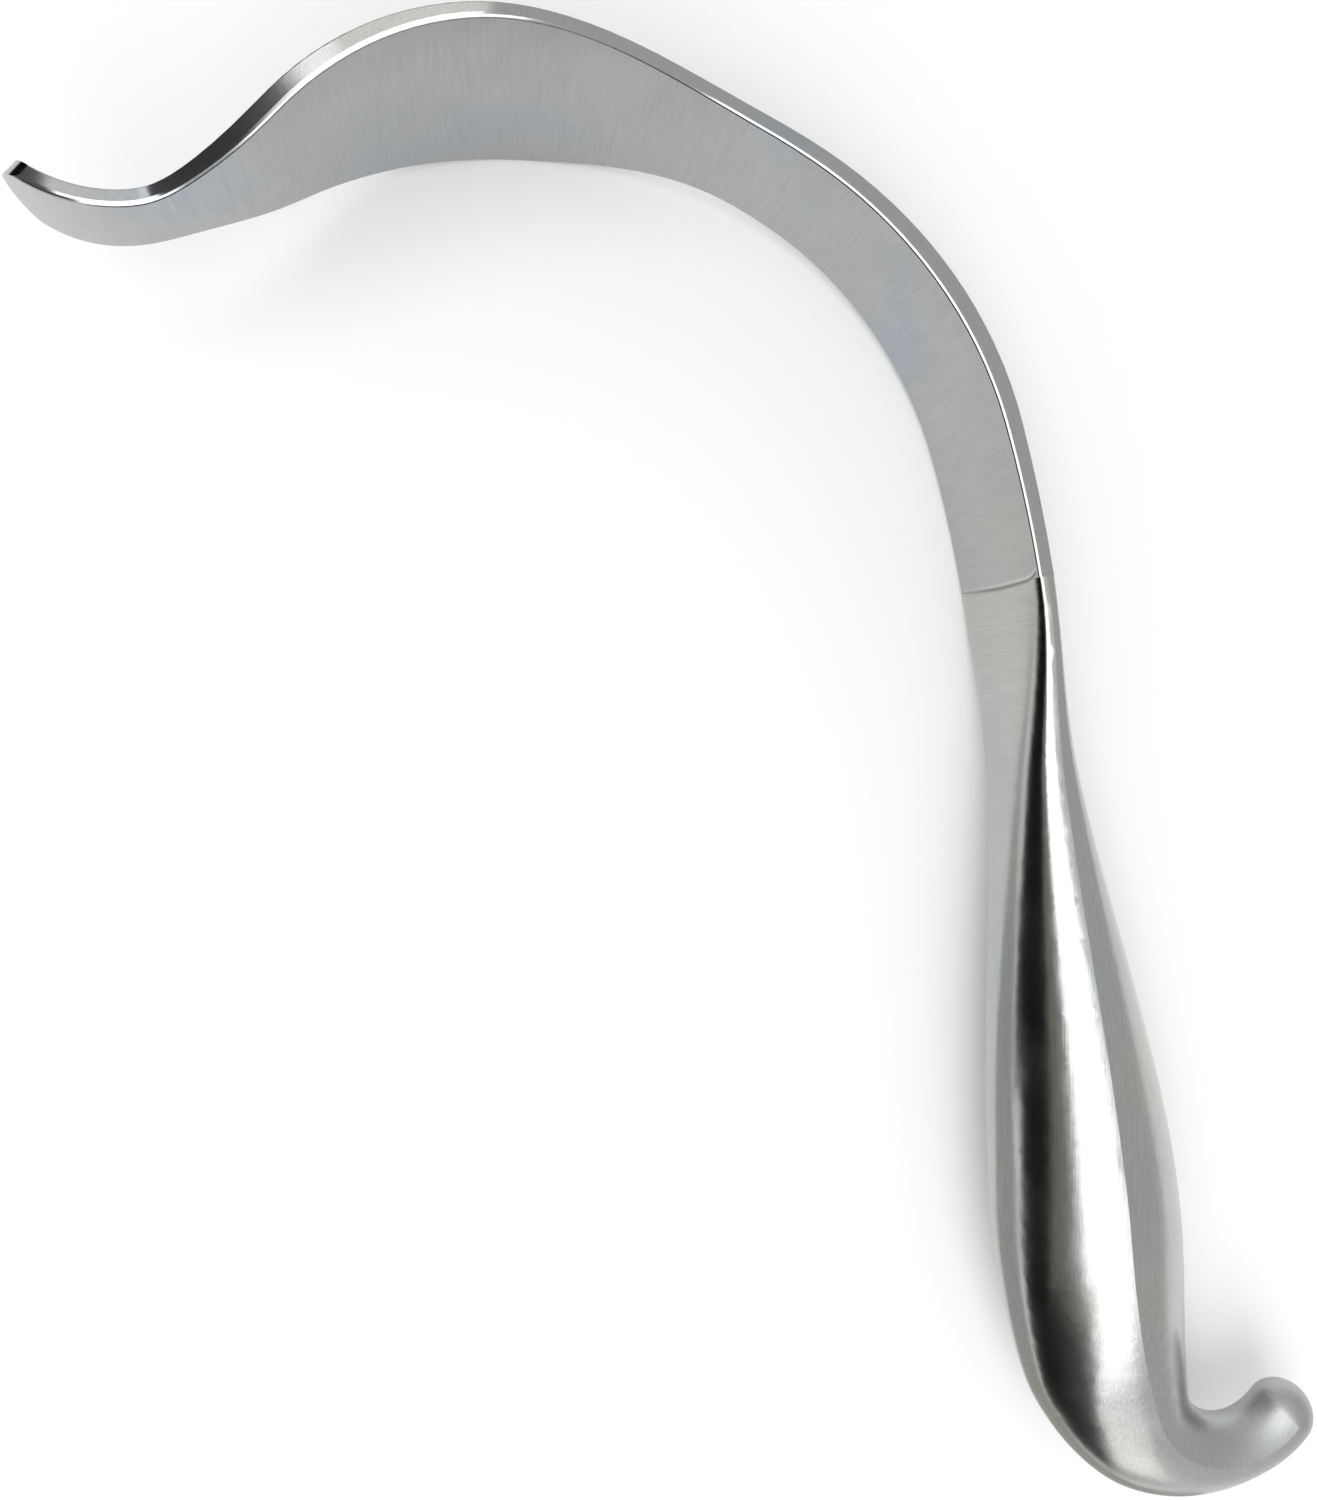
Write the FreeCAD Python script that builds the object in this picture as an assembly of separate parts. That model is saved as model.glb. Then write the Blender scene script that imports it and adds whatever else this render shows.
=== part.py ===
import FreeCAD, Part
import math
import os

# A curved retractor that is held in one hand. A sheet steel blade rises from the grip, bends
# over, widens to a hood and ends in a narrow tip that curls back up. The grip is hollow: two
# formed half shells, welded along a seam, that end in a closed hook for the little finger.
# All lengths are in millimetres and all angles in degrees.

# Side view of the tool. Its middle line runs from the tip of the blade to the end of the hook
# as arcs that flow into each other. A positive turn is to the left of the way it runs.
tip_heading = -41.5
curl_radius = 21.3
curl_turn = 65.3
shoulder_radius = 72.5
shoulder_turn = 13.6
hood_radius = 51.6
hood_turn = -40.1
upper_stem_radius = 87.6
upper_stem_turn = -30.2
bend_radius = 64.2
bend_turn = -41.7
lower_stem_radius = 205.0
lower_stem_turn = -6.5
grip_top_radius = 1420.0
grip_top_turn = -2.3
grip_straight = 38.6
heel_radius = 110.0
heel_turn = 16.4
hook_radius = 14.25
hook_turn = 116.5

# Blade: width and thickness of the sheet at named places along the middle line. The round end
# of the tip stays a small gap wider than the sheet, so that the sides of the sheet stay plain.
# Towards the tip the far side of the sheet leans inwards by a share of its width.
tip_width = 15.0
tip_rounding = 4.8
tip_side_gap = 0.05
tip_lean = 0.08
lean_ends_at = 30.0
curl_at = 21.5
curl_width = 13.2
hood_at = 73.5
hood_width = 42.4
hood_fullness = 0.71
stem_at = 115.0
stem_width = 25.5
neck_at = 174.0
neck_width = 28.3
tip_thickness = 2.5
curl_thickness = 2.45
shoulder_at = 40.0
shoulder_thickness = 3.0
hood_thickness = 1.95
hood_thin_at = 86.0
stem_thickness = 2.7
stem_thick_at = 150.0
neck_thickness = 2.25
inner_edge_reach = 0.75
inner_edge_drop = 0.35
outer_edge_rounding = 0.2
edge_flats = 3

# Joint between blade and grip: the end of the blade is a shallow arc that bears on the shells,
# and a tang on the blade sits in a slot between them.
joint_arc_radius = 200.0
tang_width = 14.0
tang_thickness = 1.2
tang_length = 15.0
tang_clearance = 0.1

# Grip: half width across the tool and depth of each half shell, measured from the seam.
grip_neck_half_width = 14.15
inner_neck_depth = 1.5
outer_neck_depth = 1.7
throat_at = 30.0
throat_half_width = 10.5
belly_at = 89.0
belly_half_width = 14.2
inner_belly_at = 117.0
inner_belly_depth = 15.0
inner_fullness = 0.79
outer_belly_at = 96.5
outer_belly_depth = 13.9
outer_fullness = 1.0
hook_at = 151.0
hook_half_width = 4.6
hook_depth = 4.85
neck_squareness = 6.5
round_at = 78.0
rounding_fullness = 0.42
seam_ridge = 6.0
shell_wall = 1.2
hollow_starts_at = 21.0
hollow_end_wall = 1.5

# Spacing of the sections along the tool, steps round the outside of a shell, flats round the
# inside of it, and how far a body that cuts another one reaches past it.
section_spacing = 4.0
outside_steps = 18
inside_flats = 10
cut_margin = 3.0


def blend(place, start, start_value, end, end_value, fullness=1.0):
    # Eased change from one value to another between two places on the middle line.
    share = min(max((place - start) / (end - start), 0.0), 1.0) ** fullness
    return start_value + (end_value - start_value) * (1 - math.cos(math.pi * share)) / 2


def arc_length(radius, turn):
    return radius * math.radians(abs(turn))


blade_arcs = [
    (curl_radius, curl_turn),
    (shoulder_radius, shoulder_turn),
    (hood_radius, hood_turn),
    (upper_stem_radius, upper_stem_turn),
    (bend_radius, bend_turn),
    (lower_stem_radius, lower_stem_turn),
]
blade_length = sum(arc_length(radius, turn) for radius, turn in blade_arcs)
grip_arcs = [
    (grip_top_radius, grip_top_turn),
    (None, grip_straight),
    (heel_radius, heel_turn),
    (hook_radius, hook_turn),
]


def middle_line(distance):
    # Point, heading and left-hand normal of the middle line at a distance from the tip.
    x, y, heading = 0.0, 0.0, math.radians(tip_heading)
    left = distance
    for radius, turn in blade_arcs + grip_arcs:
        length = turn if radius is None else arc_length(radius, turn)
        step = left if left < length else length
        if radius is None:
            x += step * math.cos(heading)
            y += step * math.sin(heading)
        else:
            side = 1 if turn > 0 else -1
            turned = heading + side * step / radius
            x += side * radius * (math.sin(turned) - math.sin(heading))
            y -= side * radius * (math.cos(turned) - math.cos(heading))
            heading = turned
        left -= step
        if left <= 0:
            break
    # Past its last arc the line goes on straight.
    x += left * math.cos(heading)
    y += left * math.sin(heading)
    along = FreeCAD.Vector(math.cos(heading), math.sin(heading), 0)
    normal = FreeCAD.Vector(-math.sin(heading), math.cos(heading), 0)
    return FreeCAD.Vector(x, y, 0), along, normal


across = FreeCAD.Vector(0, 0, 1)
grip_length = sum(turn if radius is None else arc_length(radius, turn) for radius, turn in grip_arcs)


def places_between(start, end):
    count = max(2, round((end - start) / section_spacing))
    return [start + (end - start) * step / count for step in range(count + 1)]


def blade_width(place):
    if place < curl_at:
        return blend(place, tip_rounding, tip_width, curl_at, curl_width)
    if place < hood_at:
        return blend(place, curl_at, curl_width, hood_at, hood_width, hood_fullness)
    if place < stem_at:
        return blend(place, hood_at, hood_width, stem_at, stem_width)
    return blend(place, stem_at, stem_width, neck_at, neck_width)


def blade_thickness(place):
    if place < curl_at:
        return blend(place, 0, tip_thickness, curl_at, curl_thickness)
    if place < shoulder_at:
        return blend(place, curl_at, curl_thickness, shoulder_at, shoulder_thickness)
    if place < hood_thin_at:
        return blend(place, shoulder_at, shoulder_thickness, hood_thin_at, hood_thickness)
    if place < stem_thick_at:
        return blend(place, hood_thin_at, hood_thickness, stem_thick_at, stem_thickness)
    return blend(place, stem_thick_at, stem_thickness, blade_length, neck_thickness)


def skin(sections, places, degree, knots, counts):
    # Smooth surface over sections that have the same poles: rails run along the tool through
    # matching poles, and the poles of the rails carry the surface.
    grid = []
    for column in range(len(sections[0])):
        rail = Part.BSplineCurve()
        rail.interpolate(Points=[section[column] for section in sections], Parameters=places)
        grid.append(rail.getPoles())
    surface = Part.BSplineSurface()
    surface.buildFromPolesMultsKnots(
        grid, counts, rail.getMultiplicities(), knots, rail.getKnots(), False, False, degree, 3
    )
    return surface


def strips(outlines, places):
    # Strips along the tool, one for each side of outlines that have as many corners each.
    surfaces = []
    for index in range(-1, len(outlines[0]) - 1):
        sides = [[outline[index], outline[index + 1]] for outline in outlines]
        surfaces.append(skin(sides, places, 1, [0.0, 1.0], [2, 2]))
    return surfaces


def closed_body(surfaces):
    # Solid inside skins that meet along their edges, with a flat cap at either end.
    faces = [surface.toShape() for surface in surfaces]
    for last in (False, True):
        rims = []
        for surface in surfaces:
            start, end = surface.bounds()[2:]
            rims.append(surface.vIso(end if last else start).toShape())
        faces.append(Part.Face(Part.Wire(Part.__sortEdges__(rims))))
    shell = Part.Shell(faces)
    shell.sewShape()
    solid = Part.Solid(shell)
    if solid.Volume < 0:
        solid.reverse()
    return solid


def band(start, end, width_at, thickness_at, inner_corner=(0.0, 0.0), outer_corner=(0.0, 0.0)):
    # Sheet that follows the middle line. Each section is a rectangle, and narrow flats round
    # its corners as grinding does. A corner is given by how far the flats reach over the edge
    # and how far they drop down the face.
    places = places_between(start, end)
    outlines = []
    for place in places:
        point, along, normal = middle_line(place)
        half_width = width_at(place) / 2
        half_depth = thickness_at(place) / 2
        outline = []
        for side, depth in ((-1, -1), (1, -1), (1, 1), (-1, 1)):
            reach, drop = inner_corner if depth < 0 else outer_corner
            lean = blend(place, 0, tip_lean, lean_ends_at, 0.0) * (side - 1) * half_width
            corner = point + across * (side * half_width) + normal * (depth * half_depth + lean)
            back = across * (-side * drop)
            down = normal * (-depth * reach)
            first, second = (down, back) if side == depth else (back, down)
            flats = edge_flats if reach > 0 else 0
            for step in range(flats + 1):
                angle = math.pi / 2 * step / max(flats, 1)
                eased = first * (1 - math.sin(angle)) + second * (1 - math.cos(angle))
                outline.append(corner + eased)
        outlines.append(outline)
    return closed_body(strips(outlines, places))


def turned_disc(centre, normal, major, minor, height):
    # Elliptical disc about a point, as thick as its height and centred on the sheet.
    long_first = major.Length >= minor.Length
    first = major if long_first else minor
    second = minor if long_first else major
    ellipse = Part.Ellipse(FreeCAD.Vector(0, 0, 0), first.Length, second.Length)
    rotation = FreeCAD.Rotation(first, second, first.cross(second), "XYZ")
    wire = Part.Wire(ellipse.toShape())
    wire.Placement = FreeCAD.Placement(centre - normal * (height / 2), rotation)
    return Part.Face(wire).extrude(normal * height)


def upright_block(start, along, length, half_width, normal, height):
    # Block on the sheet that begins at a point and runs along it, centred on its thickness.
    base = start - normal * (height / 2)
    corners = [
        base - across * half_width,
        base + across * half_width,
        base + across * half_width + along * length,
        base - across * half_width + along * length,
    ]
    return Part.Face(Part.makePolygon(corners + corners[:1])).extrude(normal * height)


def tip_corners():
    # What the round end takes off the square corners of the tip.
    point, along, normal = middle_line(0)
    height = tip_thickness + 2 * cut_margin
    start = point - along * (2 * cut_margin)
    block = upright_block(start, along, 2 * cut_margin + tip_rounding, tip_width, normal, height)
    centre = point + along * tip_rounding
    reach = along * tip_rounding
    side = across * (tip_width / 2 + tip_side_gap)
    return block.cut(turned_disc(centre, normal, side, reach, height))


def joint_disc():
    # Disc whose rim is the shallow arc where the blade ends and the shells begin.
    point, along, normal = middle_line(blade_length)
    centre = point - along * joint_arc_radius
    height = 2 * outer_neck_depth + 2 * cut_margin
    return turned_disc(centre, normal, along * joint_arc_radius, across * joint_arc_radius, height)


def make_tang(clearance):
    # Flat tongue that runs from inside the blade into the slot between the shells.
    return band(
        blade_length - 2 * neck_thickness,
        blade_length + tang_length + clearance,
        lambda place: tang_width + 2 * clearance,
        lambda place: tang_thickness + 2 * clearance,
    )


def make_blade():
    sheet = band(
        -cut_margin, blade_length + cut_margin, blade_width, blade_thickness,
        (inner_edge_reach, inner_edge_drop), (outer_edge_rounding, outer_edge_rounding),
    )
    sheet = sheet.cut(tip_corners())
    point, along, normal = middle_line(blade_length)
    height = neck_thickness + 2 * cut_margin
    start = point - along * cut_margin
    beyond = upright_block(start, along, 3 * cut_margin, neck_width, normal, height)
    sheet = sheet.cut(beyond.cut(joint_disc()))
    return sheet.fuse(make_tang(0))


def grip_half_width(place):
    if place < throat_at:
        return blend(place, 0, grip_neck_half_width, throat_at, throat_half_width)
    if place < belly_at:
        return blend(place, throat_at, throat_half_width, belly_at, belly_half_width)
    return blend(place, belly_at, belly_half_width, hook_at, hook_half_width)


def shell_depth(place, inner):
    belly_place = inner_belly_at if inner else outer_belly_at
    belly_depth = inner_belly_depth if inner else outer_belly_depth
    neck_depth = inner_neck_depth if inner else outer_neck_depth
    fullness = inner_fullness if inner else outer_fullness
    if place < belly_place:
        return blend(place, 0, neck_depth, belly_place, belly_depth, fullness)
    return blend(place, belly_place, belly_depth, hook_at, hook_depth)


def section_points(place, inner, inset, steps):
    # Points from edge to edge round one half of the grip. It is nearly square at the neck and
    # round at the belly, and leans in by the ridge at the seam.
    point, along, normal = middle_line(blade_length + place)
    outward = normal * (-1 if inner else 1)
    half_width = grip_half_width(place)
    depth = shell_depth(place, inner)
    power = blend(place, 0, neck_squareness, round_at, 2.0, rounding_fullness)
    lean = math.tan(math.radians(seam_ridge)) / half_width
    points = []
    for step in range(steps + 1):
        angle = math.pi * step / steps
        cosine = math.cos(angle)
        sine = math.sin(angle) if 0 < step < steps else 0.0
        reach = (abs(cosine) ** power + abs(sine) ** power) ** (-1 / power)
        out = (depth - inset) * reach * sine
        side = (half_width - inset) * reach * cosine * (1 - lean * out)
        points.append(point + across * side + outward * out)
    return points


def half_section(place, inner):
    shares = [step / outside_steps for step in range(outside_steps + 1)]
    curve = Part.BSplineCurve()
    curve.interpolate(Points=section_points(place, inner, 0, outside_steps), Parameters=shares)
    return curve


def half_body(inner):
    # Solid that fills one half of the grip. The last section makes a quarter turn about the
    # end of the middle line, which closes the hook with a round end.
    places = places_between(-cut_margin, grip_length)
    curves = [half_section(place, inner) for place in places]
    sections = [curve.getPoles() for curve in curves]
    knots = curves[0].getKnots()
    counts = curves[0].getMultiplicities()
    outside = skin(sections, places, 3, knots, counts)
    rims = [[section[-1], section[0]] for section in sections]
    flat = skin(rims, places, 1, [0.0, 1.0], [2, 2])
    last_flat = Part.LineSegment(rims[-1][0], rims[-1][1])
    last_face = Part.Face(Part.Wire([curves[-1].toShape(), last_flat.toShape()]))
    hinge = middle_line(blade_length + grip_length)[0]
    round_end = last_face.revolve(hinge, across * (1 if inner else -1), 90)
    return closed_body([outside, flat]).fuse(round_end)


def half_hollow(inner):
    # Space inside one half, from below the neck to just before the round end. It reaches past
    # the seam by the wall of the shell.
    places = places_between(hollow_starts_at, grip_length - hollow_end_wall)
    outlines = []
    for place in places:
        outline = section_points(place, inner, shell_wall, inside_flats)
        past_seam = middle_line(blade_length + place)[2] * (shell_wall if inner else -shell_wall)
        outline[0] += past_seam
        outline[-1] += past_seam
        outlines.append(outline)
    return closed_body(strips(outlines, places))


def make_shell(inner):
    # One formed half of the grip, hollow below the neck, with its half of the slot for the tang.
    shell = half_body(inner).cut(half_hollow(inner))
    return shell.cut(joint_disc()).cut(make_tang(tang_clearance))


def resting_rotation():
    # On a table the tool lies on its side: it bears on the edge of the hood, the edge of the
    # neck and the side of the belly. The plane through these three is turned level.
    supports = []
    for place, half_width in (
        (hood_at, hood_width / 2),
        (blade_length, grip_neck_half_width),
        (blade_length + belly_at, belly_half_width),
    ):
        supports.append(middle_line(place)[0] - across * half_width)
    upright = (supports[2] - supports[1]).cross(supports[0] - supports[1])
    if upright.z < 0:
        upright = upright * -1
    return FreeCAD.Rotation(upright, across)


parts = {
    "blade": make_blade(),
    "grip_inner_shell": make_shell(True),
    "grip_outer_shell": make_shell(False),
}
turn = FreeCAD.Placement(FreeCAD.Vector(0, 0, 0), resting_rotation())
for shape in parts.values():
    shape.Placement = turn
whole = Part.makeCompound(list(parts.values())).optimalBoundingBox(False, False)
middle = FreeCAD.Vector((whole.XMin + whole.XMax) / 2, (whole.YMin + whole.YMax) / 2, whole.ZMin)

os.makedirs("parts", exist_ok=True)
for name, shape in parts.items():
    shape.Placement = FreeCAD.Placement(-middle, resting_rotation())
    solid = shape.Solids[0] if len(shape.Solids) == 1 else shape
    solid.exportStep("parts/" + name + ".step")
    print(name, solid.ShapeType, solid.isValid(), round(solid.Volume, 1), "mm3")
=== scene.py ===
import math

import bpy
from mathutils import Matrix, Vector

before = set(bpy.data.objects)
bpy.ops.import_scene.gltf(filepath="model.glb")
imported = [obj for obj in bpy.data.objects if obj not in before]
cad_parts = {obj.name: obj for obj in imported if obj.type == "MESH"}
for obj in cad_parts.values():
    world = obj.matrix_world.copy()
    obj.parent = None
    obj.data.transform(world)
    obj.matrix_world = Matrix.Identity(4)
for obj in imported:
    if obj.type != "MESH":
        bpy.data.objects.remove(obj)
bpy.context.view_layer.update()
mm = 0.001

# how the tool lies, and where its blade meets the grip
tool = {
    "lean": (0.78, -5.81, 0.0),           # degrees about X, then Y, that stand its width upright
    "jointPoint": (49.27, 32.70, 14.31),  # mm, where the blade meets the grip on the middle line
    "jointAlong": (0.1546, -0.988, -0.0022),
    "jointOutward": (0.9828, 0.154, -0.1017),
    "jointRadius": 200.0,                 # mm, the shallow arc the blade ends in
}
leanTurns = tuple(math.radians(value) for value in tool["lean"])


def toLinear(hexText):
    # sRGB hex to the linear colour a shader wants
    values = []
    for place in (0, 2, 4):
        value = int(hexText[place:place + 2], 16) / 255
        values.append(value / 12.92 if value <= 0.04045 else ((value + 0.055) / 1.055) ** 2.4)
    return (values[0], values[1], values[2], 1.0)


def addNode(tree, kind, settings=None, links=None):
    # one node with its settings and links: a name sets a property, an index or "in:" an input
    node = tree.nodes.new(kind)
    for name, value in (settings or {}).items():
        if isinstance(name, int):
            node.inputs[name].default_value = value
        elif name.startswith("in:"):
            node.inputs[name[3:]].default_value = value
        else:
            setattr(node, name, value)
    for name, source in (links or {}).items():
        tree.links.new(source, node.inputs[name])
    return node


def newMaterial(name):
    material = bpy.data.materials.new(name)
    material.use_nodes = True
    material.node_tree.nodes.clear()
    return material, material.node_tree


steel = {
    "bladeColour": "B2B3B2",          # ground stainless steel, a neutral grey
    "gripColour": "B9BAB9",
    "bladeCool": "AAB1BB",            # where it takes up a little blue
    "bladeWarm": "B2B2AF",
    "gripCool": "B4B8B6",
    "gripWarm": "BBB9B3",
    "tintPatch": 30.8,                # mm, size of the bluer and warmer patches
    "tintRange": (0.28, 0.5, 0.72),   # noise where it is warmest, where plain and where coolest
    "grainStep": 0.22,                # mm between grinding lines; the real 0.05 is too fine to show
    "grainRun": 9.0,                  # mm, how long a grinding line runs
    "noiseRange": (0.3, 0.7),         # the part of the noise that the lines and patches use
    "lineShade": (0.88, 1.06),        # darkest and brightest grinding line
    "lineDepth": 0.016,               # mm
    "lineStrength": 0.3,
    "bladeCross": 0.35,               # share of cross lines on the blade
    "neckGround": (-25.0, 15.0),      # mm along the grip, between the belly's lines and the neck's
    "scratchStep": 3.5,               # mm between stray scratches
    "scratchRun": 8,                  # how many times longer than that they run
    "scratchValue": 0.62,             # noise value that a scratch follows
    "scratchWidth": 0.006,
    "scratchDepth": -0.25,            # of a grinding line's depth
    "bladeRoughness": 0.27,
    "edgeRoughness": 0.12,            # the narrow edges are polished brighter than the faces
    "edgeUpright": (0.5, 0.9),        # how far a face turns to the side before it counts as edge
    "gripRoughness": 0.20,
    "hookRoughness": 0.40,            # the belly's lower end and the hook are left duller
    "hookFrom": (66.0, 84.0),         # mm
    "patch": 14.0,                    # mm, size of the cloudy patches a hand-held belt leaves
    "patchRoughness": (-0.03, 0.04),
}

# the ground weld between blade and grip, its groove darkened with painted shade and a painted
# highlight beside it; places across the tool are in mm from its middle line
weld = {
    "grooveWidth": 0.5,               # mm on each side
    # painted shade: how far the groove's colour is darkened in its middle
    "paintedGrooveShade": 0.50,
    "grooveDepth": 0.06,              # mm
    # painted highlight: a bright line in the colour beside the groove, on the blade's side
    "rimPlace": 0.55,                 # mm from the groove, on the blade's side
    "rimWidth": 0.3,                  # mm on each side
    "paintedRimHighlight": 0.4,
    "cornerFrom": (-10.5, -15.0),     # the near corner turns up
    "cornerLift": 1.1,                # mm
    "fadeFrom": (13.0, 0.0),          # the far third is ground away
    "fadeShare": 0.25,
    "endsAt": (-13.2, -13.7),         # short of the narrow edge
}


def toolPlace(tree):
    # coordinates with Z across the sheet, in metres
    place = addNode(tree, "ShaderNodeTexCoord")
    return addNode(
        tree, "ShaderNodeMapping", {"in:Rotation": leanTurns}, {"Vector": place.outputs["Object"]}
    )


def streaks(tree, place, steps, name):
    # noise squeezed by a different step, in mm, along each axis
    scale = tuple(1 / (step * mm) for step in steps)
    squeezed = addNode(
        tree, "ShaderNodeMapping", {"in:Scale": scale}, {"Vector": place.outputs[0]}
    )
    return addNode(
        tree, "ShaderNodeTexNoise",
        {"in:Scale": 1.0, "in:Detail": 3.0, "in:Roughness": 0.6, "label": name},
        {"Vector": squeezed.outputs[0]},
    )


def grindingLines(tree, place, colours, fineSteps, crossSteps):
    fine = streaks(tree, place, fineSteps, "grinding lines")
    cross = streaks(tree, place, crossSteps, "cross grinding lines")
    both = {2: fine.outputs["Fac"], 3: cross.outputs["Fac"]}
    if colours == "blade":
        settings = {"data_type": "FLOAT", 0: steel["bladeCross"]}
        return addNode(tree, "ShaderNodeMix", settings, both).outputs[0]
    # the neck is ground across, the belly along
    split = addNode(tree, "ShaderNodeSeparateXYZ", None, {0: place.outputs[0]})
    start, end = steel["neckGround"]
    share = addNode(
        tree, "ShaderNodeMapRange", {"in:From Min": start * mm, "in:From Max": end * mm},
        {"Value": split.outputs["Y"]},
    )
    both[0] = share.outputs[0]
    return addNode(tree, "ShaderNodeMix", {"data_type": "FLOAT"}, both).outputs[0]


def tintedColour(tree, place, colours):
    # the plain colour, a little bluer or warmer in wide patches
    warmest, plain, coolest = steel["tintRange"]
    tint = addNode(
        tree, "ShaderNodeTexNoise",
        {"in:Scale": 1 / (steel["tintPatch"] * mm), "in:Detail": 1.0, "label": "tint"},
        {"Vector": place.outputs[0]},
    )
    cool = addNode(
        tree, "ShaderNodeMapRange", {"in:From Min": plain, "in:From Max": coolest},
        {"Value": tint.outputs["Fac"]},
    )
    warm = addNode(
        tree, "ShaderNodeMapRange", {"in:From Min": plain, "in:From Max": warmest},
        {"Value": tint.outputs["Fac"]},
    )
    colour, coolColour, warmColour = (
        toLinear(steel[colours + tone]) for tone in ("Colour", "Cool", "Warm")
    )
    cooled = addNode(
        tree, "ShaderNodeMix", {"data_type": "RGBA", 6: colour, 7: coolColour},
        {0: cool.outputs[0]},
    )
    warmed = addNode(
        tree, "ShaderNodeMix", {"data_type": "RGBA", 7: warmColour},
        {0: warm.outputs[0], 6: cooled.outputs[2]},
    )
    return warmed.outputs[2]


def scratchHeight(tree, place):
    # stray scratches: thin threads where a stretched noise crosses one value
    step = steel["scratchStep"]
    noise = streaks(tree, place, (step, step, step * steel["scratchRun"]), "scratches")
    past = addNode(
        tree, "ShaderNodeMath", {"operation": "SUBTRACT", 1: steel["scratchValue"]},
        {0: noise.outputs["Fac"]},
    )
    thread = addNode(tree, "ShaderNodeMath", {"operation": "ABSOLUTE"}, {0: past.outputs[0]})
    depth = addNode(
        tree, "ShaderNodeMapRange",
        {"in:From Min": 0.0, "in:From Max": steel["scratchWidth"],
         "in:To Min": steel["scratchDepth"], "in:To Max": 0.0},
        {"Value": thread.outputs[0]},
    )
    return depth.outputs[0]


def weldPlace(tree):
    # distance from the weld, in metres towards the grip, and how much of it is left to see
    along = Vector(tool["jointAlong"]).normalized()
    outward = Vector(tool["jointOutward"]).normalized()
    sideways = outward.cross(along)
    turn = Matrix((along, sideways, outward)).to_euler("XYZ")
    start = Vector(tool["jointPoint"]) * mm
    shift = -(turn.to_matrix() @ start)
    radius = tool["jointRadius"] * mm
    place = addNode(tree, "ShaderNodeTexCoord")
    local = addNode(
        tree, "ShaderNodeMapping", {"in:Rotation": tuple(turn), "in:Location": tuple(shift)},
        {"Vector": place.outputs["Object"]},
    )
    split = addNode(tree, "ShaderNodeSeparateXYZ", None, {0: local.outputs[0]})
    centred = addNode(
        tree, "ShaderNodeMath", {"operation": "ADD", 1: radius}, {0: split.outputs["X"]}
    )
    flat = addNode(
        tree, "ShaderNodeCombineXYZ", None, {"X": centred.outputs[0], "Y": split.outputs["Y"]}
    )
    reach = addNode(tree, "ShaderNodeVectorMath", {"operation": "LENGTH"}, {0: flat.outputs[0]})
    beyond = addNode(
        tree, "ShaderNodeMath", {"operation": "SUBTRACT", 1: radius}, {0: reach.outputs["Value"]}
    )
    lift = addNode(
        tree, "ShaderNodeMapRange",
        {"interpolation_type": "SMOOTHSTEP",
         "in:From Min": weld["cornerFrom"][0] * mm, "in:From Max": weld["cornerFrom"][1] * mm,
         "in:To Min": 0.0, "in:To Max": weld["cornerLift"] * mm},
        {"Value": split.outputs["Y"]},
    )
    offset = addNode(
        tree, "ShaderNodeMath", {"operation": "ADD"}, {0: beyond.outputs[0], 1: lift.outputs[0]}
    )
    share = addNode(
        tree, "ShaderNodeMapRange",
        {"interpolation_type": "SMOOTHSTEP",
         "in:From Min": weld["fadeFrom"][0] * mm, "in:From Max": weld["fadeFrom"][1] * mm,
         "in:To Min": weld["fadeShare"], "in:To Max": 1.0},
        {"Value": split.outputs["Y"]},
    )
    ends = addNode(
        tree, "ShaderNodeMapRange",
        {"in:From Min": weld["endsAt"][0] * mm, "in:From Max": weld["endsAt"][1] * mm,
         "in:To Min": 1.0, "in:To Max": 0.0},
        {"Value": split.outputs["Y"]},
    )
    strength = addNode(
        tree, "ShaderNodeMath", {"operation": "MULTIPLY"}, {0: share.outputs[0], 1: ends.outputs[0]}
    )
    return offset.outputs[0], strength.outputs[0]


def weldPaintedShadeAndHighlight(tree):
    # a soft groove in the bump, darkened with painted shade, and a painted highlight on the blade's
    # side where the rim would catch the light
    offset, strength = weldPlace(tree)
    distance = addNode(tree, "ShaderNodeMath", {"operation": "ABSOLUTE"}, {0: offset})
    soft = addNode(
        tree, "ShaderNodeMapRange",
        {"interpolation_type": "SMOOTHSTEP",
         "in:From Min": 0.0, "in:From Max": weld["grooveWidth"] * mm,
         "in:To Min": 1.0, "in:To Max": 0.0},
        {"Value": distance.outputs[0]},
    )
    groove = addNode(
        tree, "ShaderNodeMath", {"operation": "MULTIPLY"}, {0: soft.outputs[0], 1: strength}
    )
    beside = addNode(
        tree, "ShaderNodeMath", {"operation": "ADD", 1: weld["rimPlace"] * mm}, {0: offset}
    )
    besideFar = addNode(tree, "ShaderNodeMath", {"operation": "ABSOLUTE"}, {0: beside.outputs[0]})
    # painted highlight: the colour brightened in a thin line beside the groove
    rim = addNode(
        tree, "ShaderNodeMapRange",
        {"in:From Min": 0.0, "in:From Max": weld["rimWidth"] * mm,
         "in:To Min": weld["paintedRimHighlight"], "in:To Max": 0.0},
        {"Value": besideFar.outputs[0]},
    )
    paintedHighlightShare = addNode(
        tree, "ShaderNodeMath", {"operation": "MULTIPLY"}, {0: rim.outputs[0], 1: strength}
    )
    # painted shade: the colour darkened along the groove
    dark = addNode(
        tree, "ShaderNodeMapRange", {"in:To Min": 1.0, "in:To Max": weld["paintedGrooveShade"]},
        {"Value": groove.outputs[0]},
    )
    tone = addNode(
        tree, "ShaderNodeMath", {"operation": "ADD"}, {0: dark.outputs[0], 1: paintedHighlightShare.outputs[0]}
    )
    return groove.outputs[0], tone.outputs[0]


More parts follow.
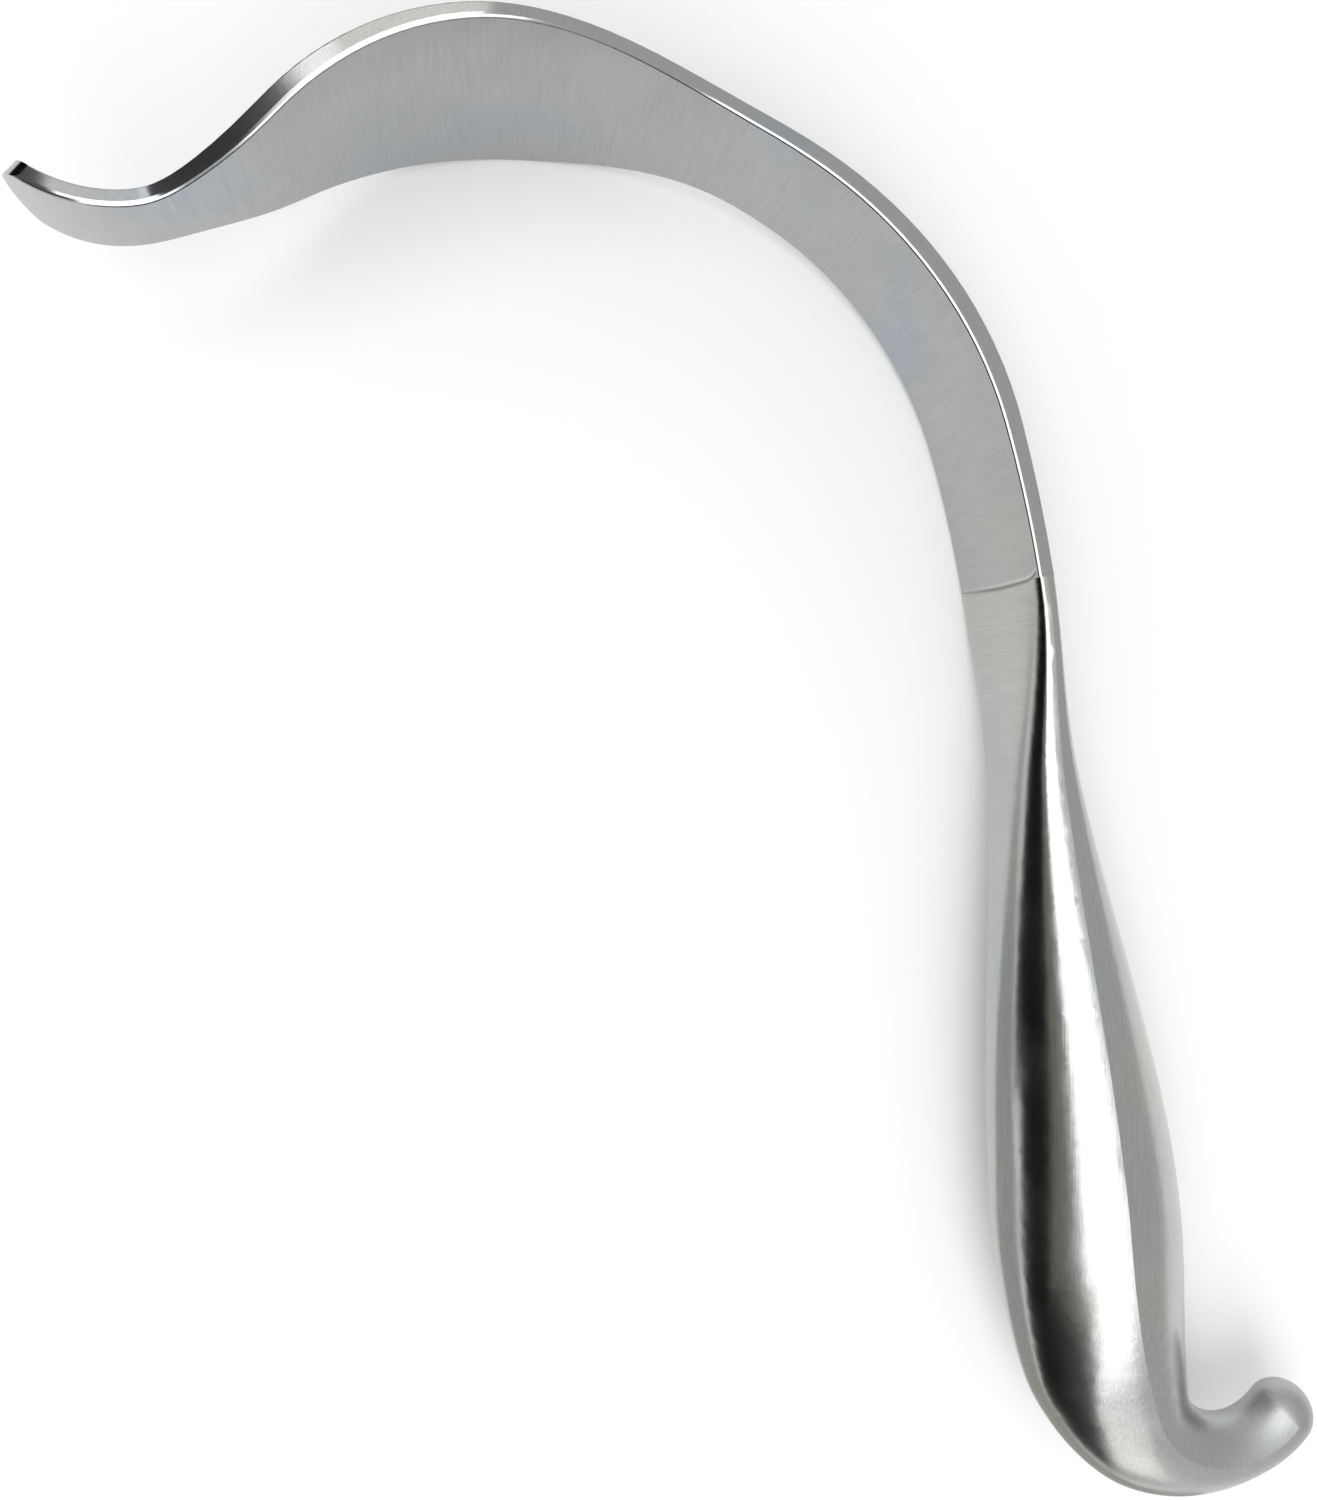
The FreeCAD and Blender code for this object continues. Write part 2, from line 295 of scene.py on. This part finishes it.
def steelRoughness(tree, place, colours):
    if colours == "grip":
        # polished at the neck, duller towards the hook
        split = addNode(tree, "ShaderNodeSeparateXYZ", None, {0: place.outputs[0]})
        start, end = steel["hookFrom"]
        dull = addNode(
            tree, "ShaderNodeMapRange",
            {"in:From Min": start * mm, "in:From Max": end * mm,
             "in:To Min": steel["gripRoughness"], "in:To Max": steel["hookRoughness"]},
            {"Value": split.outputs["X"]},
        )
    else:
        # polished on the narrow edges, duller on the faces
        facing = addNode(tree, "ShaderNodeTexCoord")
        turned = addNode(
            tree, "ShaderNodeMapping", {"vector_type": "NORMAL", "in:Rotation": leanTurns},
            {"Vector": facing.outputs["Normal"]},
        )
        upward = addNode(tree, "ShaderNodeSeparateXYZ", None, {0: turned.outputs[0]})
        steep = addNode(
            tree, "ShaderNodeMath", {"operation": "ABSOLUTE"}, {0: upward.outputs["Z"]}
        )
        start, end = steel["edgeUpright"]
        dull = addNode(
            tree, "ShaderNodeMapRange",
            {"in:From Min": start, "in:From Max": end,
             "in:To Min": steel["bladeRoughness"], "in:To Max": steel["edgeRoughness"]},
            {"Value": steep.outputs[0]},
        )
    patch = addNode(
        tree, "ShaderNodeTexNoise",
        {"in:Scale": 1 / (steel["patch"] * mm), "in:Detail": 2.0, "label": "cloudy patches"},
        {"Vector": place.outputs[0]},
    )
    cloud = addNode(
        tree, "ShaderNodeMapRange",
        {"in:From Min": steel["noiseRange"][0], "in:From Max": steel["noiseRange"][1],
         "in:To Min": steel["patchRoughness"][0], "in:To Max": steel["patchRoughness"][1]},
        {"Value": patch.outputs["Fac"]},
    )
    rough = addNode(
        tree, "ShaderNodeMath", {"operation": "ADD"}, {0: dull.outputs[0], 1: cloud.outputs[0]}
    )
    return rough.outputs[0]


def satinSteel(name, colours, fineSteps, crossSteps):
    # Stainless steel 1.4021, belt ground and then brushed satin by hand: soft reflections drawn
    # out across the grinding lines, faint cloudy patches, a few stray scratches.
    material, tree = newMaterial(name)
    place = toolPlace(tree)
    lines = grindingLines(tree, place, colours, fineSteps, crossSteps)
    shade = addNode(
        tree, "ShaderNodeMapRange",
        {"in:From Min": steel["noiseRange"][0], "in:From Max": steel["noiseRange"][1],
         "in:To Min": steel["lineShade"][0], "in:To Max": steel["lineShade"][1]},
        {"Value": lines},
    )
    coloured = addNode(
        tree, "ShaderNodeVectorMath", {"operation": "SCALE"},
        {0: tintedColour(tree, place, colours), "Scale": shade.outputs[0]},
    )
    # the weld's painted shade and painted highlight, multiplied into the colour
    groove, tone = weldPaintedShadeAndHighlight(tree)
    finished = addNode(
        tree, "ShaderNodeVectorMath", {"operation": "SCALE"},
        {0: coloured.outputs[0], "Scale": tone},
    )
    height = addNode(
        tree, "ShaderNodeMath", {"operation": "ADD"}, {0: lines, 1: scratchHeight(tree, place)}
    )
    bump = addNode(
        tree, "ShaderNodeBump",
        {"in:Strength": steel["lineStrength"], "in:Distance": steel["lineDepth"] * mm},
        {"Height": height.outputs[0]},
    )
    weldBump = addNode(
        tree, "ShaderNodeBump",
        {"in:Strength": 1.0, "in:Distance": weld["grooveDepth"] * mm, "invert": True},
        {"Height": groove, "Normal": bump.outputs[0]},
    )
    surface = addNode(
        tree, "ShaderNodeBsdfPrincipled", {"in:Metallic": 1.0},
        {"Base Color": finished.outputs[0], "Roughness": steelRoughness(tree, place, colours),
         "Normal": weldBump.outputs[0]},
    )
    addNode(tree, "ShaderNodeOutputMaterial", None, {"Surface": surface.outputs[0]})
    return material


step = steel["grainStep"]
run = steel["grainRun"]
bladeSteel = satinSteel("satinSteelBlade", "blade", (step, step, run), (step * 3, step * 3, run))
gripSteel = satinSteel("satinSteelGrip", "grip", (step, run, step), (step, step, run))
for nodeName, material in (
    ("blade", bladeSteel), ("grip_inner_shell", gripSteel), ("grip_outer_shell", gripSteel),
):
    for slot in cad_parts[nodeName].material_slots:
        slot.material = material
print("steel on the three pieces")

studio = {
    "floorColour": "EEEEEE",
    "floorSize": 6.0,
    "worldColour": "FFFFFF",
    "worldStrength": 0.68,
    "lampCentre": (0.011, -0.6265, 1.0),
    "lampSize": (0.80, 2.45),
    "lampTurn": 20.0,                 # degrees about Z
    "lampWatts": 12.6,
    "dark": "0B0E0E",
    "brown": "85807A",
    "grey": "CFCFCD",
    "pale": "F7F7F4",
    "dim": "BFBFBC",
    "shade": "4E4B49",
}

# for each card its centre and size in metres, its turn in degrees, its colour and strength
cards = {
    "darkCardLeft": ((-0.78, -0.15, 0.30), (0.60, 1.9), (0, 90, 0), "dark", 1.0),
    "brownCardLeft": ((-0.78, -0.50, 0.95), (0.70, 1.2), (0, 90, 0), "brown", 1.0),
    "darkCardFar": ((-0.78, 0.60, 0.75), (1.5, 1.0), (0, 90, 0), "dark", 1.0),
    "darkCardFront": ((-0.34, -1.10, 0.40), (0.88, 0.70), (90, 0, 0), "dark", 1.0),
    "brownCardFront": ((-0.42, -1.10, 0.92), (0.76, 0.34), (90, 0, 0), "brown", 1.0),
    "paleCardFront": ((0.55, -2.05, 0.68), (0.75, 0.60), (90, 0, 0), "pale", 1.7),
    "paleCardHood": ((-0.085, 0.212, 0.25), (0.17, 0.06), (0, 0, 25), "pale", 1.4),
    "paleCardCurl": ((-0.098, 0.168, 0.249), (0.044, 0.034), (0, 0, 0), "pale", 1.0),
    "greyCardRight": ((0.30, -0.05, 0.15), (0.30, 0.5), (0, 90, 0), "grey", 1.0),
    "dimCardTip": ((-0.122, 0.085, 0.10), (0.044, 0.08), (0, 0, 0), "shade", 1.0),
}

# paper strips that stand on edge, the dark one inside the bend and the dim one beside the grip;
# both routes are given in mm, the dim one with its height at each point
darkRoute = [
    (-95, 54), (-72, 56), (-52, 64), (-35, 72), (-22, 74), (-8, 70), (6, 62), (13, 54), (17, 42),
    (19, 20), (-20, -28), (-66, -77),
]
darkHeight = 32
dimRoute = [
    (31, 30, 3), (32, 0, 8), (32, -25, 14), (34, -62, 18), (40, -88, 18), (52, -106, 18),
    (68, -120, 16), (88, -123, 12),
]
stripFoot = 0.5


def plainMaterial(name, hexText, strength):
    # paper that glows at the given strength, or matt paper where that is zero
    material, tree = newMaterial(name)
    colour = toLinear(hexText)
    if strength:
        settings = {"in:Color": colour, "in:Strength": strength}
        surface = addNode(tree, "ShaderNodeEmission", settings)
    else:
        surface = addNode(tree, "ShaderNodeBsdfDiffuse", {"in:Color": colour})
    addNode(tree, "ShaderNodeOutputMaterial", None, {"Surface": surface.outputs[0]})
    return material


def showInReflectionsOnly(piece):
    piece.visible_camera = False
    piece.visible_diffuse = False
    piece.visible_shadow = False


def addSheet(name, centre, size, turn, material):
    # a flat stage piece, made in place with its shape in its mesh
    turns = tuple(math.radians(value) for value in turn)
    bpy.ops.object.select_all(action="DESELECT")
    bpy.ops.mesh.primitive_plane_add(size=1.0, location=centre, rotation=turns)
    sheet = bpy.context.active_object
    sheet.name = name
    sheet.scale = (size[0], size[1], 1.0)
    bpy.ops.object.transform_apply(location=True, rotation=True, scale=True)
    sheet.data.materials.append(material)
    return sheet


def addStrip(name, route, hexText):
    corners = [(x * mm, y * mm, z * mm) for x, y, height in route for z in (stripFoot, height)]
    faces = [(i, i + 2, i + 3, i + 1) for i in range(0, len(corners) - 2, 2)]
    mesh = bpy.data.meshes.new(name)
    mesh.from_pydata(corners, [], faces)
    mesh.materials.append(plainMaterial(name, hexText, 1.0))
    strip = bpy.data.objects.new(name, mesh)
    bpy.context.scene.collection.objects.link(strip)
    showInReflectionsOnly(strip)


floorMaterial = plainMaterial("paleFloor", studio["floorColour"], 0.0)
addSheet("floor", (0, 0, 0), (studio["floorSize"], studio["floorSize"]), (0, 0, 0), floorMaterial)
for name, (centre, size, turn, colour, strength) in cards.items():
    cardMaterial = plainMaterial(name, studio[colour], strength)
    showInReflectionsOnly(addSheet(name, centre, size, turn, cardMaterial))
addStrip("darkStrip", [(x, y, darkHeight) for x, y in darkRoute], studio["dark"])
addStrip("dimStrip", dimRoute, studio["dim"])

lampData = bpy.data.lights.new("overheadLamp", "AREA")
lampData.shape = "RECTANGLE"
lampData.size, lampData.size_y = studio["lampSize"]
lampData.energy = studio["lampWatts"]
lamp = bpy.data.objects.new("overheadLamp", lampData)
lamp.location = studio["lampCentre"]
lamp.rotation_euler = (0, 0, math.radians(studio["lampTurn"]))
bpy.context.scene.collection.objects.link(lamp)

world = bpy.data.worlds.new("paleRoom")
world.use_nodes = True
world.node_tree.nodes.clear()
sky = addNode(
    world.node_tree, "ShaderNodeBackground",
    {"in:Color": toLinear(studio["worldColour"]), "in:Strength": studio["worldStrength"]},
)
addNode(world.node_tree, "ShaderNodeOutputWorld", None, {"Surface": sky.outputs[0]})
bpy.context.scene.world = world
print("floor, cards and light are set")

view = {
    "place": (-12.818, 18.516, 199.894),  # mm, straight above the tool and looking down
    "pixelsPerUnit": 1200.4,              # focal length in pixels of the 1317 x 1500 picture
    "centre": (603.19, 679.95),           # pixel under the camera
    "picture": (1317, 1500),
    "sensor": 36.0,                       # mm
    "nearest": 10.0,                      # mm, what is closer isn't drawn
}
width, height = view["picture"]
cameraData = bpy.data.cameras.new("camera")
cameraData.sensor_width = view["sensor"]
cameraData.lens = view["pixelsPerUnit"] / height * view["sensor"]
cameraData.shift_x = (width / 2 - view["centre"][0]) / height
cameraData.shift_y = (view["centre"][1] - height / 2) / height
cameraData.clip_start = view["nearest"] * mm
camera = bpy.data.objects.new("camera", cameraData)
camera.location = tuple(value * mm for value in view["place"])
bpy.context.scene.collection.objects.link(camera)
bpy.context.scene.camera = camera
bpy.context.scene.view_settings.view_transform = "Standard"
print("camera is set")
